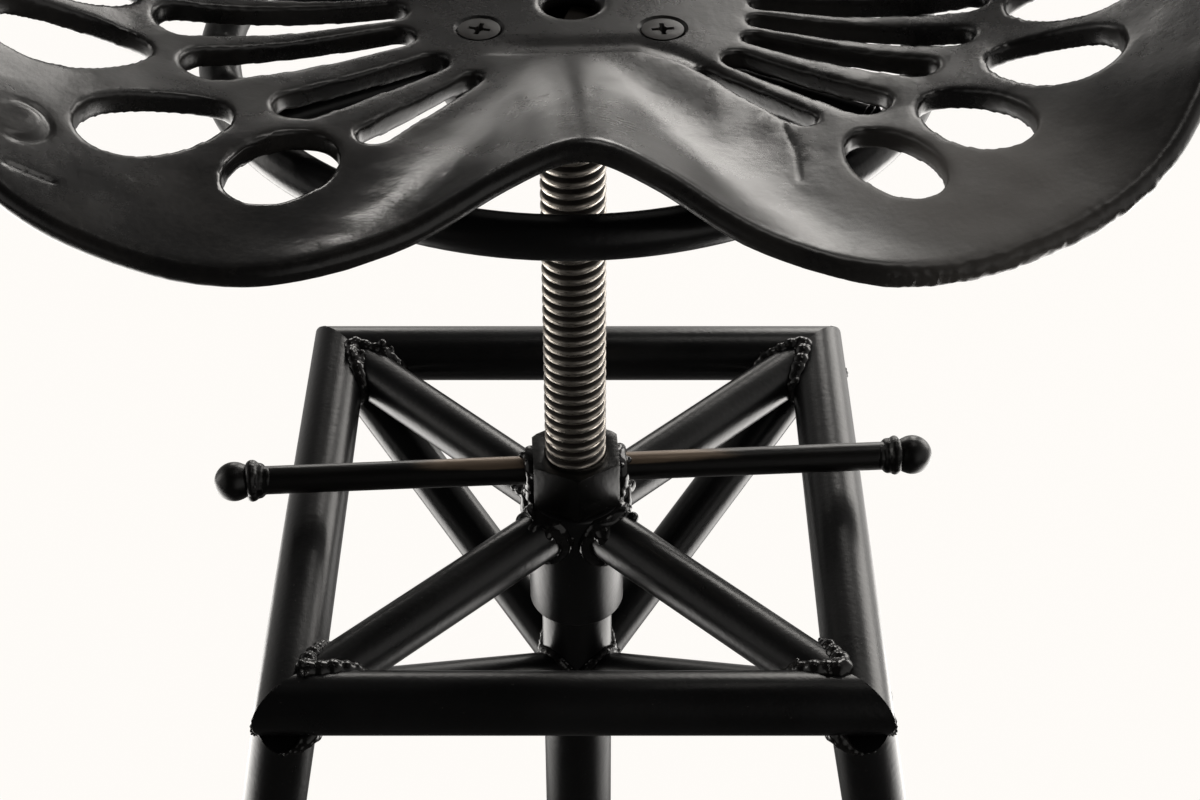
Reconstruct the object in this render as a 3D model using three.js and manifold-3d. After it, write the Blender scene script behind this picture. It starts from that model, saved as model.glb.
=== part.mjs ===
// A tractor seat stool: a pierced cast seat on a lift screw, with a hand hoop under the seat,
// a lock nut with two handles, and a square tube stand. Millimetres, +Z up, front towards -Y.
// The origin is on the floor, under the screw's axis.
import * as THREE from "three";
import { mergeVertices } from "three/addons/utils/BufferGeometryUtils.js";
import Module from "manifold-3d";

const wasm = await Module();
wasm.setup();

// Clearances
const weldGap = 0.3;
const runningGap = 0.3;
const seatingGap = 0.3;
const overrun = 10;
const mergeTolerance = 0.0001;

// Stand
const frameHeight = 480;
const frameSide = 224;
const frameTubeRadius = 12.7;
const legTubeRadius = 12.7;
const upperBraceRadius = 11;
const lowerBraceRadius = 10.5;
const lowerBraceDrop = 98;
const legSplayShare = 0.18;
const footRailHeight = 200;
const footRailRadius = 11;
const footCapWall = 3.2;
const footCapLength = 34;
const footCapFloor = 6;

// Screw guide
const collarRadius = 20.5;
const collarTop = 12;
const collarBottom = -49;
const collarChamfer = 1.5;
const guideRadius = 15.5;
const guideWall = 1.2;
const guideBottom = -292;

// Lift screw and its stop
const screwRadius = 12.8;
const screwFoot = -92;
const screwChamfer = 2;
const stopWasherThickness = 3;
const stopBoltRadius = 5;
const stopBoltGrip = 24;
const stopBoltHeadWidth = 17;
const stopBoltHeadHeight = 6.4;

// Lock nut and its handles
const nutWidth = 36;
const nutTop = 35;
const nutChamfer = 2.2;
const nutTurn = THREE.MathUtils.degToRad(3.5);
const handleHeight = 25;
const handleRadius = 6;
const handleReach = 143.5;
const handleBallRadius = 8.3;

// Seat carrier
const hoopRadius = 127;
const hoopTubeRadius = 7.5;
const hoopHeight = 231;
const spokeRadius = 6;
const hubRadius = 50;
const hubThickness = 8;
const hubBossRadius = 23;
const hubBossLength = 14;

// Seat fasteners
const fastenerCount = 3;
const fastenerCircle = 37.5;
const fastenerRadius = 4;
const fastenerHeadRadius = 8.5;
const fastenerHeadDepth = 4.6;
const fastenerHeadLand = 0.6;
const fastenerLength = 21;

// Seat casting
const seatPlateTop = 246;
const seatThickness = 8;
const seatHoleRadius = 11.5;
const seatPlateRadius = 62;
const seatPlateFront = 36;
const seatHalfWidth = 218;
const seatRimLift = 60;
const slotInnerRadius = 64;
const slotInnerWidth = 8;
const slotOuterWidth = 13;
const backSlotCount = 15;
const backPetalCount = 15;
const petalWidth = 32;
const notchShift = 5.5;

// The seat's rim, front to back on one side: azimuth in degrees, with the radius as a share of
// the half width and the lift over the plate as a share of the rim lift.
const rimShares = [
  [-90, 0.631, 0.467],
  [-80, 0.674, 0.35],
  [-70, 0.794, 0.15],
  [-60, 0.922, 0.083],
  [-50, 1.005, 0.167],
  [-40, 1.064, 0.367],
  [-28, 1.064, 0.7],
  [-12, 1.023, 0.917],
  [10, 0.982, 1],
  [35, 0.945, 1.03],
  [62, 0.904, 1.05],
  [90, 0.872, 1.06],
];
// The front slots, set out by hand in the pattern: azimuth in degrees of the inner and of the
// outer end, the inner end as a share of the slots' inner radius, the outer end as a share of the
// half width, and the width as a share of the slots' width.
const rightSlotShares = [
  [-46, -46.3, 0.985, 0.537, 0.74],
  [-33, -35, 1.015, 0.594, 1],
  [-21, -24, 1.015, 0.626, 1],
  [-10.5, -14.5, 1, 0.662, 1],
  [0, -5, 1, 0.68, 1],
];
const leftSlotShares = [
  [-121.9, -125.5, 0.92, 0.532, 0.9],
  [-137, -141, 0.92, 0.576, 1],
  [-156, -156, 0.955, 0.658, 1],
  [-172.5, -169, 0.955, 0.674, 1],
];
// The front petals: azimuth in degrees, the middle and the half length as shares of the half
// width, the width as a share of the petals' width, how much wider the outer half is, and the
// turn from the radius in degrees.
const rightPetalShares = [
  [-47.1, 0.704, 0.103, 0.8, 0.02, -17],
  [-34.9, 0.741, 0.105, 0.86, 0.08, -20],
  [-22.5, 0.798, 0.106, 1, 0.2, -14],
  [-9.5, 0.817, 0.112, 1.03, 0.2, -8],
];
const leftPetalShares = [
  [-129, 0.667, 0.106, 1, 0, 11],
  [-144.3, 0.753, 0.122, 1.05, 0.2, 0],
  [-161, 0.815, 0.126, 1.12, 0.2, 4],
];
// Where the slots and petals round the back end, as shares of the rim's radius there.
const backSlotEndShare = 0.66;
const backPetalEndShares = [0.7, 0.925];
const backPetalWidthShare = 0.97;
const backPetalBulgeShare = 0.2;
const fullTurn = 360;
const notchSpreadAngle = 34;
// How steeply the casting rises outside its plate, at the front and at the back.
const frontRiseShare = 1.35;
const backRiseShare = 3;
const riseTurnShare = 0.77;
const leastFrontShare = 0.01;
const rimRoundShare = 0.45;

// Facets
const tubeSides = 20;
const barrelSides = 28;
const slimSides = 16;
const ballRings = 10;
const hoopSides = 8;
const hoopSegments = 48;
const rimColumns = 60;
const risingRings = 5;
const slotArcSegments = 3;
const petalPoints = 12;

// Materials
const castIron = () => paint(0x1d1c1c, 0.48, 0.35);
const frameBlack = () => paint(0x17181a, 0.38, 0.3);
const bareSteel = () => paint(0x8b857c, 0.34, 0.95);
const blackSteel = () => paint(0x2a2a2b, 0.42, 0.7);
const rubber = () => paint(0x161616, 0.85, 0);

function paint(color, roughness, metalness) {
  return new THREE.MeshStandardMaterial({ color, roughness, metalness });
}

// Solids
function solid(geometry) {
  const bare = geometry.clone();
  bare.deleteAttribute("normal");
  bare.deleteAttribute("uv");
  const merged = mergeVertices(bare, mergeTolerance);
  return new wasm.Manifold(
    new wasm.Mesh({
      numProp: 3,
      vertProperties: merged.attributes.position.array,
      triVerts: new Uint32Array(merged.index.array),
    }),
  );
}

function geometry(body) {
  const mesh = body.getMesh();
  const made = new THREE.BufferGeometry();
  made.setAttribute("position", new THREE.BufferAttribute(mesh.vertProperties, 3));
  made.setIndex(new THREE.BufferAttribute(mesh.triVerts, 1));
  made.computeVertexNormals();
  return made;
}

function named(name, shape, material) {
  const mesh = new THREE.Mesh(shape, material);
  mesh.name = name;
  return mesh;
}

function cut(geometryToCut, ...cutters) {
  const body = cutters.reduce((left, cutter) => left.subtract(solid(cutter)), solid(geometryToCut));
  return geometry(body);
}

// A round bar from one point to another.
function bar(start, end, radius, sides = tubeSides) {
  const along = end.clone().sub(start);
  const made = new THREE.CylinderGeometry(radius, radius, along.length(), sides);
  const up = new THREE.Vector3(0, 1, 0);
  made.applyQuaternion(new THREE.Quaternion().setFromUnitVectors(up, along.clone().normalize()));
  const middle = start.clone().add(end).multiplyScalar(0.5);
  return made.translate(middle.x, middle.y, middle.z);
}

// An upright round bar on the screw's axis.
function post(radius, bottom, top, sides = barrelSides) {
  return bar(new THREE.Vector3(0, 0, bottom), new THREE.Vector3(0, 0, top), radius, sides);
}

// A square slab that is wider than the stand, to cut with.
function slab(bottom, top) {
  const side = 2 * (legEnd.x + 2 * legTubeRadius + overrun);
  const made = new THREE.BoxGeometry(side, side, top - bottom);
  return made.translate(0, 0, (top + bottom) / 2);
}

// A revolved profile of [radius, height] pairs, turned upright.
function turned(profile, sides = barrelSides) {
  const points = profile.map(([radius, height]) => new THREE.Vector2(radius, height));
  return new THREE.LatheGeometry(points, sides).rotateX(Math.PI / 2);
}

// A rail along X on one side of a square, with both ends mitred for the next rails. The mitre's
// point reaches past the corner by at most the given length.
function mitredRail(halfSide, radius, pointReach) {
  const rail = bar(
    new THREE.Vector3(-halfSide, halfSide, 0),
    new THREE.Vector3(halfSide, halfSide, 0),
    radius,
  );
  const points = rail.attributes.position;
  for (let i = 0; i < points.count; i++) {
    const mitre = Math.min(points.getY(i) - halfSide, pointReach) - weldGap;
    points.setX(i, points.getX(i) + Math.sign(points.getX(i)) * mitre);
  }
  return rail;
}

const hexCornerShare = 1 / Math.cos(Math.PI / 6);

// A hexagonal prism with flats facing along X.
function hexPrism(acrossFlats, bottom, top) {
  return post((acrossFlats / 2) * hexCornerShare, bottom, top, 6);
}

// Stand
const cornerX = frameSide / 2;
const cornerPoint = new THREE.Vector3(cornerX, cornerX, 0);
const legReach = frameHeight + overrun;
const legDirection = new THREE.Vector3(legSplayShare, legSplayShare, -1);
const legEnd = cornerPoint.clone().addScaledVector(legDirection, legReach);
const lowerBraceFoot = new THREE.Vector3(0, 0, -lowerBraceDrop);

// The two top rails that meet at the corner, grown by the weld gap.
function cornerRailCutters() {
  const reach = cornerX + frameTubeRadius * 2;
  const radius = frameTubeRadius + weldGap;
  return [
    bar(new THREE.Vector3(-reach, cornerX, 0), new THREE.Vector3(reach, cornerX, 0), radius),
    bar(new THREE.Vector3(cornerX, -reach, 0), new THREE.Vector3(cornerX, reach, 0), radius),
  ];
}

function legCutter() {
  return bar(cornerPoint, legEnd, legTubeRadius + weldGap);
}

function leg() {
  const tube = bar(cornerPoint, legEnd, legTubeRadius);
  const below = slab(-legReach - overrun, footCapFloor - frameHeight);
  return cut(tube, ...cornerRailCutters(), below);
}

function upperBrace() {
  const tube = bar(new THREE.Vector3(), cornerPoint, upperBraceRadius);
  const collar = post(collarRadius + weldGap, collarBottom, collarTop + overrun);
  return cut(tube, ...cornerRailCutters(), collar, legCutter());
}

function lowerBrace() {
  const tube = bar(lowerBraceFoot, cornerPoint, lowerBraceRadius);
  const guide = post(guideRadius + weldGap, guideBottom, 0);
  const above = bar(new THREE.Vector3(), cornerPoint, upperBraceRadius + weldGap);
  return cut(tube, ...cornerRailCutters(), guide, above, legCutter());
}

function footRail() {
  const drop = frameHeight - footRailHeight;
  const halfSide = cornerX + legSplayShare * drop;
  const rail = mitredRail(halfSide, footRailRadius, 0).translate(0, 0, -drop);
  const right = legCutter();
  const left = legCutter().rotateZ(Math.PI / 2);
  return cut(rail, right, left);
}

function footCap() {
  const capRadius = legTubeRadius + seatingGap + footCapWall;
  const floor = -frameHeight;
  const mouth = cornerPoint.clone().addScaledVector(legDirection, frameHeight - footCapLength);
  const outside = bar(mouth, legEnd, capRadius);
  const belowFloor = slab(-legReach - overrun, floor);
  const bore = bar(cornerPoint, legEnd, legTubeRadius + seatingGap);
  const boreEnd = slab(-legReach - overrun, floor + footCapFloor - seatingGap);
  return geometry(
    solid(outside)
      .subtract(solid(belowFloor))
      .subtract(solid(bore).subtract(solid(boreEnd))),
  );
}

const standPieces = [
  ["top_rail", () => mitredRail(cornerX, frameTubeRadius, frameTubeRadius), frameBlack],
  ["upper_brace", upperBrace, frameBlack],
  ["lower_brace", lowerBrace, frameBlack],
  ["leg", leg, frameBlack],
  ["foot_rail", footRail, frameBlack],
  ["foot_cap", footCap, rubber],
];
const cornerNames = ["back_right", "back_left", "front_left", "front_right"];
const sideNames = ["back", "left", "front", "right"];

function stand() {
  const group = new THREE.Group();
  for (const [name, make, material] of standPieces) {
    const places = name.endsWith("rail") ? sideNames : cornerNames;
    places.forEach((place, quarter) => {
      const piece = named(name + "_" + place, make(), material());
      piece.rotation.z = (quarter * Math.PI) / 2;
      group.add(piece);
    });
  }
  return group;
}

// Screw guide
const screwBore = screwRadius + runningGap;

function threadedCollar() {
  return turned([
    [screwBore, collarBottom],
    [collarRadius, collarBottom],
    [collarRadius, collarTop - collarChamfer],
    [collarRadius - collarChamfer, collarTop],
    [screwBore, collarTop],
    [screwBore, collarBottom],
  ]);
}

function guideTube() {
  const top = collarBottom - weldGap;
  return turned([
    [guideRadius - guideWall, guideBottom],
    [guideRadius, guideBottom],
    [guideRadius, top],
    [guideRadius - guideWall, top],
    [guideRadius - guideWall, guideBottom],
  ]);
}

// Lift screw and its stop
const hubTop = seatPlateTop - seatThickness - seatingGap;
const stopBore = stopBoltRadius + runningGap;

function liftScrew() {
  return turned([
    [0, screwFoot + stopBoltGrip],
    [stopBore, screwFoot + stopBoltGrip],
    [stopBore, screwFoot],
    [screwRadius - screwChamfer, screwFoot],
    [screwRadius, screwFoot + screwChamfer],
    [screwRadius, hubTop],
    [0, hubTop],
  ]);
}

const washerTop = screwFoot - runningGap;
const washerBottom = washerTop - stopWasherThickness;
const washerRadius = guideRadius - guideWall - runningGap;

function stopWasher() {
  return turned([
    [stopBore, washerBottom],
    [washerRadius, washerBottom],
    [washerRadius, washerTop],
    [stopBore, washerTop],
    [stopBore, washerBottom],
  ]);
}

function stopBolt() {
  const headTop = washerBottom - runningGap;
  const head = hexPrism(stopBoltHeadWidth, headTop - stopBoltHeadHeight, headTop);
  const shankTop = screwFoot + stopBoltGrip - runningGap;
  const shank = post(stopBoltRadius, headTop - stopBoltHeadHeight / 2, shankTop);
  return geometry(solid(head).add(solid(shank)));
}

// Lock nut and its handles
function lockNut() {
  const bottom = collarTop + seatingGap;
  const prism = hexPrism(nutWidth, bottom, nutTop);
  const corner = (nutWidth / 2) * hexCornerShare;
  const chamferDrop = nutChamfer / 2;
  const blank = turned([
    [0, bottom],
    [corner - nutChamfer, bottom],
    [corner, bottom + chamferDrop],
    [corner, nutTop - chamferDrop],
    [corner - nutChamfer, nutTop],
    [0, nutTop],
  ]);
  const bore = post(screwBore, bottom - overrun, nutTop + overrun);
  return geometry(solid(prism).intersect(solid(blank)).subtract(solid(bore)));
}

function handleBall() {
  const ball = new THREE.SphereGeometry(handleBallRadius, slimSides, ballRings);
  return ball.rotateZ(Math.PI / 2).translate(handleReach, 0, handleHeight);
}

function handleRod() {
  const flat = nutWidth / 2 + weldGap;
  const start = new THREE.Vector3(flat, 0, handleHeight);
  const end = new THREE.Vector3(handleReach, 0, handleHeight);
  const rod = bar(start, end, handleRadius, slimSides);
  const seat = new THREE.SphereGeometry(handleBallRadius + weldGap, slimSides, ballRings);
  seat.rotateZ(Math.PI / 2).translate(handleReach, 0, handleHeight);
  return cut(rod, seat);
}

function lockNutGroup() {
  const group = new THREE.Group();
  group.rotation.z = nutTurn;
  group.add(named("lock_nut", lockNut(), blackSteel()));
  ["right", "left"].forEach((side, half) => {
    const rod = named("handle_rod_" + side, handleRod(), frameBlack());
    const ball = named("handle_ball_" + side, handleBall(), frameBlack());
    for (const piece of [rod, ball]) {
      piece.rotation.z = half * Math.PI;
      group.add(piece);
    }
  });
  return group;
}

// Seat carrier
const spokeAzimuths = [90, 210, 330];

function hoop(tubeRadius) {
  const ring = new THREE.TorusGeometry(hoopRadius, tubeRadius, hoopSides, hoopSegments);
  return ring.translate(0, 0, hoopHeight);
}

function spoke() {
  const start = new THREE.Vector3(hubRadius / 2, 0, hoopHeight);
  const end = new THREE.Vector3(hoopRadius, 0, hoopHeight);
  const rod = bar(start, end, spokeRadius, slimSides);
  const hub = post(hubRadius + weldGap, hoopHeight - overrun, hoopHeight + overrun);
  return cut(rod, hub, hoop(hoopTubeRadius + weldGap));
}

function fastenerHoles(radius, bottom, top) {
  return spokeAzimuths.map((azimuth) => {
    const hole = post(radius, bottom, top, slimSides).translate(fastenerCircle, 0, 0);
    return hole.rotateZ(THREE.MathUtils.degToRad(azimuth));
  });
}

function seatHub() {
  const flangeBottom = hubTop - hubThickness;
  const bossBottom = flangeBottom - hubBossLength;
  const bore = screwRadius + weldGap;
  const blank = turned([
    [bore, bossBottom],
    [hubBossRadius, bossBottom],
    [hubBossRadius, flangeBottom],
    [hubRadius, flangeBottom],
    [hubRadius, hubTop],
    [bore, hubTop],
    [bore, bossBottom],
  ]);
  const holeBottom = flangeBottom - overrun / 2;
  const holes = fastenerHoles(fastenerRadius + weldGap, holeBottom, hubTop + overrun);
  return cut(blank, ...holes);
}

// A countersunk screw, or the hole for it when it is grown by a clearance.
function countersunk(grow, length, top) {
  const profile = [
    [0, seatPlateTop - length],
    [fastenerRadius + grow, seatPlateTop - length],
    [fastenerRadius + grow, seatPlateTop - fastenerHeadDepth],
    [fastenerHeadRadius + grow, seatPlateTop - fastenerHeadLand],
    [fastenerHeadRadius + grow, top],
    [0, top],
  ];
  return turned(profile, slimSides);
}

// Seat casting
function rimCurve() {
  const side = rimShares.map(([azimuth, radiusShare, liftShare]) => {
    const angle = THREE.MathUtils.degToRad(azimuth);
    const radius = radiusShare * seatHalfWidth;
    return new THREE.Vector3(
      radius * Math.cos(angle),
      radius * Math.sin(angle),
      liftShare * seatRimLift,
    );
  });
  const other = side
    .slice(1, -1)
    .reverse()
    .map((point) => new THREE.Vector3(-point.x, point.y, point.z));
  return new THREE.CatmullRomCurve3([...side, ...other], true, "centripetal");
}

const rim = rimCurve().getSpacedPoints(rimColumns).slice(0, rimColumns);

// The rim's radius on one azimuth, in degrees.
function rimRadius(azimuth) {
  const angle = THREE.MathUtils.degToRad(azimuth);
  const ray = new THREE.Vector2(Math.cos(angle), Math.sin(angle));
  const nearest = rim.reduce((best, point) => {
    const off = new THREE.Vector2(point.x, point.y).normalize().dot(ray);
    return off > best.off ? { off, point } : best;
  }, { off: -1 });
  return Math.hypot(nearest.point.x, nearest.point.y);
}

// Points of the casting's middle surface under one point of the rim: the plate's hole, its
// border, and the rising part. The notch at the front sits a little to the right.
function rib(point) {
  const radius = Math.hypot(point.x, point.y);
  const alongX = point.x / radius;
  const alongY = point.y / radius;
  const border = Math.min(seatPlateRadius, seatPlateFront / Math.max(-alongY, leastFrontShare));
  const turnBack = Math.min(1, (1 + alongY) / riseTurnShare);
  const power = frontRiseShare + (backRiseShare - frontRiseShare) * turnBack;
  const rows = [[seatHoleRadius, 0, 0, 0]];
  for (let ring = 0; ring <= risingRings; ring++) {
    const share = ring / risingRings;
    const lift = point.z * share ** power;
    const slope = ring ? (power * point.z * share ** (power - 1)) / (radius - border) : 0;
    rows.push([border + share * (radius - border), lift, slope, share]);
  }
  const fromFront = THREE.MathUtils.radToDeg(Math.acos(-alongY));
  const shift = notchShift * Math.exp(-((fromFront / notchSpreadAngle) ** 2));
  return rows.map(([r, lift, slope, share]) => {
    const lean = Math.atan(slope);
    return { x: r * alongX + shift * share, y: r * alongY, lift, lean, share, alongX, alongY };
  });
}

// One closed skin round the middle surface, with a round edge at the rim.
function seatBlank() {
  const half = seatThickness / 2;
  const middleHeight = seatPlateTop - half;
  const positions = [];
  const columns = rim.map((point) => {
    const ribPoints = rib(point);
    const last = ribPoints.length - 1;
    const offset = (p, side, inwards) => {
      const out = -side * Math.sin(p.lean) * half - inwards * Math.cos(p.lean);
      const rise = side * Math.cos(p.lean) * half - inwards * Math.sin(p.lean);
      positions.push(p.x + out * p.alongX, p.y + out * p.alongY, middleHeight + p.lift + rise);
    };
    const inset = seatThickness * rimRoundShare;
    ribPoints.forEach((p, i) => offset(p, -1, i === last ? inset : 0));
    const tip = ribPoints[last];
    positions.push(tip.x, tip.y, middleHeight + tip.lift);
    ribPoints.reverse().forEach((p, i) => offset(p, 1, i === 0 ? inset : 0));
    return 2 * ribPoints.length + 1;
  });
  const rows = columns[0];
  const index = [];
  for (let column = 0; column < rimColumns; column++) {
    const next = (column + 1) % rimColumns;
    for (let row = 0; row < rows; row++) {
      const after = (row + 1) % rows;
      const a = column * rows + row;
      const b = next * rows + row;
      const c = next * rows + after;
      const d = column * rows + after;
      index.push(a, b, c, a, c, d);
    }
  }
  const made = new THREE.BufferGeometry();
  made.setAttribute("position", new THREE.Float32BufferAttribute(positions, 3));
  made.setIndex(index);
  return made;
}

// An upright cutter through the casting from a flat outline.
function through(outline) {
  const bottom = seatPlateTop - seatThickness - overrun;
  const depth = seatRimLift + seatThickness + 4 * overrun;
  const settings = { depth, bevelEnabled: false, curveSegments: slotArcSegments };
  const made = new THREE.ExtrudeGeometry(outline, settings);
  return made.translate(0, 0, bottom);
}

function polar(azimuth, radius) {
  const angle = THREE.MathUtils.degToRad(azimuth);
  return new THREE.Vector2(radius * Math.cos(angle), radius * Math.sin(angle));
}

// A slot that widens outwards, with round ends.
function slot(innerAzimuth, outerAzimuth, innerRadius, outerRadius, widthShare) {
  const start = polar(innerAzimuth, innerRadius);
  const run = polar(outerAzimuth, outerRadius).sub(start);
  const inner = (slotInnerWidth * widthShare) / 2;
  const outer = (slotOuterWidth * widthShare) / 2;
  const quarter = Math.PI / 2;
  const outline = new THREE.Shape();
  outline.absarc(inner, 0, inner, quarter, 3 * quarter, false);
  outline.absarc(run.length() - outer, 0, outer, -quarter, quarter, false);
  outline.closePath();
  return through(outline).rotateZ(run.angle()).translate(start.x, start.y, 0);
}

// An egg-shaped hole, turned a little from the radius.
function petal(azimuth, middleRadius, halfLength, width, bulgeShare, turnAngle) {
  const points = [];
  for (let i = 0; i < petalPoints; i++) {
    const turn = (2 * Math.PI * i) / petalPoints;
    const bulge = 1 + bulgeShare * Math.cos(turn);
    points.push(
      new THREE.Vector2(halfLength * Math.cos(turn), (width / 2) * bulge * Math.sin(turn)),
    );
  }
  const middle = polar(azimuth, middleRadius);
  const outline = through(new THREE.Shape(points));
  outline.rotateZ(THREE.MathUtils.degToRad(azimuth + turnAngle));
  return outline.translate(middle.x, middle.y, 0);
}

// Azimuths spaced evenly round the back, from one on the right to one on the left.
function roundTheBack(right, left, count) {
  const pitch = (left + fullTurn - right) / (count + 1);
  return Array.from({ length: count }, (_, i) => right + pitch * (i + 1));
}

function slots() {
  const front = [...rightSlotShares, ...leftSlotShares].map(
    ([innerAzimuth, outerAzimuth, innerShare, outerShare, widthShare]) =>
      slot(
        innerAzimuth,
        outerAzimuth,
        innerShare * slotInnerRadius,
        outerShare * seatHalfWidth,
        widthShare,
      ),
  );
  const right = rightSlotShares[rightSlotShares.length - 1];
  const left = leftSlotShares[leftSlotShares.length - 1];
  const outerEnds = roundTheBack(right[1], left[1], backSlotCount);
  const back = roundTheBack(right[0], left[0], backSlotCount).map((azimuth, i) => {
    const outerRadius = rimRadius(outerEnds[i]) * backSlotEndShare;
    return slot(azimuth, outerEnds[i], slotInnerRadius, outerRadius, 1);
  });
  return [...front, ...back];
}

function petals() {
  const front = [...rightPetalShares, ...leftPetalShares].map(
    ([azimuth, middleShare, halfShare, widthShare, bulgeShare, turnAngle]) =>
      petal(
        azimuth,
        middleShare * seatHalfWidth,
        halfShare * seatHalfWidth,
        widthShare * petalWidth,
        bulgeShare,
        turnAngle,
      ),
  );
  const right = rightPetalShares[rightPetalShares.length - 1][0];
  const left = leftPetalShares[leftPetalShares.length - 1][0];
  const width = petalWidth * backPetalWidthShare;
  const back = roundTheBack(right, left, backPetalCount).map((azimuth) => {
    const [inner, outer] = backPetalEndShares.map((share) => share * rimRadius(azimuth));
    const middle = (inner + outer) / 2;
    return petal(azimuth, middle, (outer - inner) / 2, width, backPetalBulgeShare, 0);
  });
  return [...front, ...back];
}

function tractorSeat() {
  const sinkings = spokeAzimuths.map((azimuth) => {
    const sinking = countersunk(seatingGap, seatThickness + overrun, seatPlateTop + overrun);
    sinking.translate(fastenerCircle, 0, 0);
    return sinking.rotateZ(THREE.MathUtils.degToRad(azimuth));
  });
  return cut(seatBlank(), ...slots(), ...petals(), ...sinkings);
}

function turningGroup() {
  const group = new THREE.Group();
  group.add(named("tractor_seat", tractorSeat(), castIron()));
  group.add(named("hand_hoop", hoop(hoopTubeRadius), frameBlack()));
  group.add(named("seat_hub", seatHub(), frameBlack()));
  group.add(named("lift_screw", liftScrew(), bareSteel()));
  group.add(named("stop_bolt", stopBolt(), blackSteel()));
  spokeAzimuths.forEach((azimuth, i) => {
    const piece = named("hoop_spoke_" + (i + 1), spoke(), frameBlack());
    piece.rotation.z = THREE.MathUtils.degToRad(azimuth);
    group.add(piece);
  });
  for (let i = 0; i < fastenerCount; i++) {
    const angle = THREE.MathUtils.degToRad(spokeAzimuths[i]);
    const shape = countersunk(0, fastenerLength, seatPlateTop);
    const screw = named("seat_screw_" + (i + 1), shape, blackSteel());
    screw.position.set(fastenerCircle * Math.cos(angle), fastenerCircle * Math.sin(angle), 0);
    group.add(screw);
  }
  return group;
}

const stool = new THREE.Group();
const aboveFloor = new THREE.Group();
aboveFloor.position.z = frameHeight;
aboveFloor.add(stand());
aboveFloor.add(named("threaded_collar", threadedCollar(), frameBlack()));
aboveFloor.add(named("guide_tube", guideTube(), frameBlack()));
aboveFloor.add(named("stop_washer", stopWasher(), bareSteel()));
aboveFloor.add(lockNutGroup());
aboveFloor.add(turningGroup());
stool.add(aboveFloor);

export default stool;
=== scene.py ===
"""A tractor seat stool: a cast seat on a lift screw, a lock nut with handles and a welded stand."""
import math
import random

import bpy
import numpy as np
from mathutils import Matrix, Vector, noise


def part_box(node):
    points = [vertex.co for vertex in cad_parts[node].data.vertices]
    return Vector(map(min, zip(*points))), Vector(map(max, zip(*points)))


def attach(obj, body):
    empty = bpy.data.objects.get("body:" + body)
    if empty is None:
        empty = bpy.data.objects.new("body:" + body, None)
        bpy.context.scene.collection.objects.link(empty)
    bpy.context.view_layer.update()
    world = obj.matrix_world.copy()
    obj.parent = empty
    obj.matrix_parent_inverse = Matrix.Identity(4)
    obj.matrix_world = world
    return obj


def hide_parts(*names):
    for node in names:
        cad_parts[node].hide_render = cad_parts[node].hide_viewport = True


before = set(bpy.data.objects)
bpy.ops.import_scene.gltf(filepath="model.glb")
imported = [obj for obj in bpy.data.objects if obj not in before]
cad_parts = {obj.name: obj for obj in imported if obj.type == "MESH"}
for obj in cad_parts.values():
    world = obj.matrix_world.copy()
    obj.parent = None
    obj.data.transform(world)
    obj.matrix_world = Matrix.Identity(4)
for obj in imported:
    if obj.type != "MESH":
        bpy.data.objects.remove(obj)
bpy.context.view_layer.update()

mm = 0.001

# Camera: it looks down over the seat's front edge on to the stand, a little right of the middle.
camera_place = (10.3 * mm, -708 * mm, 1113.4 * mm)
camera_tilt = math.radians(51.09)
bpy.ops.object.camera_add(location=camera_place, rotation=(camera_tilt, 0, 0))
camera = bpy.context.object
camera.data.sensor_width = 36
camera.data.lens = 66.2
bpy.context.scene.camera = camera
bpy.context.scene.view_settings.view_transform = "Standard"


# Materials. A Wire is one output of a material's node, and arithmetic on it adds Math nodes.
class Wire:
    def __init__(self, tree, socket=None):
        self.tree = tree
        self.socket = socket

    def node(self, kind, settings=None, inputs=None, output=0):
        made = self.tree.nodes.new(kind)
        for key, value in (settings or {}).items():
            if key != "stops":
                setattr(made, key, value)
                continue
            elements = made.color_ramp.elements
            while len(elements) < len(value):
                elements.new(0.5)
            for element, (position, colour) in zip(elements, value):
                element.position = position
                element.color = (*colour, 1)
        for key, value in (inputs or {}).items():
            if isinstance(value, Wire):
                self.tree.links.new(value.socket, made.inputs[key])
            else:
                made.inputs[key].default_value = value
        return Wire(self.tree, made.outputs[output])

    def math(self, operation, first, second):
        return self.node("ShaderNodeMath", {"operation": operation}, {0: first, 1: second})

    def __add__(self, other):
        return self.math("ADD", self, other)

    def __radd__(self, other):
        return self.math("ADD", other, self)

    def __sub__(self, other):
        return self.math("SUBTRACT", self, other)

    def __rsub__(self, other):
        return self.math("SUBTRACT", other, self)

    def __mul__(self, other):
        return self.math("MULTIPLY", self, other)

    def __rmul__(self, other):
        return self.math("MULTIPLY", other, self)


# Studio: a pale floor and a white surround that is bright low behind the stool and at its sides,
# and dark overhead and behind the camera. Wide soft lamps stand behind it and to the left and the
# right, with a small one overhead. The camera sees the surround all white.
backdrop = (1.0, 0.973, 0.939)
floor_radius = 6


def deselect():
    bpy.ops.object.select_all(action="DESELECT")


deselect()
bpy.ops.mesh.primitive_circle_add(vertices=96, radius=floor_radius, fill_type="NGON")
floor = bpy.context.object
floor.name = "studio_floor"
floor_paint = bpy.data.materials.new("studio_floor")
floor_paint.use_nodes = True
floor_tree = floor_paint.node_tree
floor_tree.nodes.clear()
floor_wire = Wire(floor_tree)


def fade(wire, value, start, end, low=0.0, high=1.0):
    """A soft step: low up to the start, high from the end."""
    settings = {"interpolation_type": "SMOOTHSTEP"}
    values = {"Value": value, "From Min": start, "From Max": end, "To Min": low, "To Max": high}
    return wire.node("ShaderNodeMapRange", settings, values)


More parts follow.
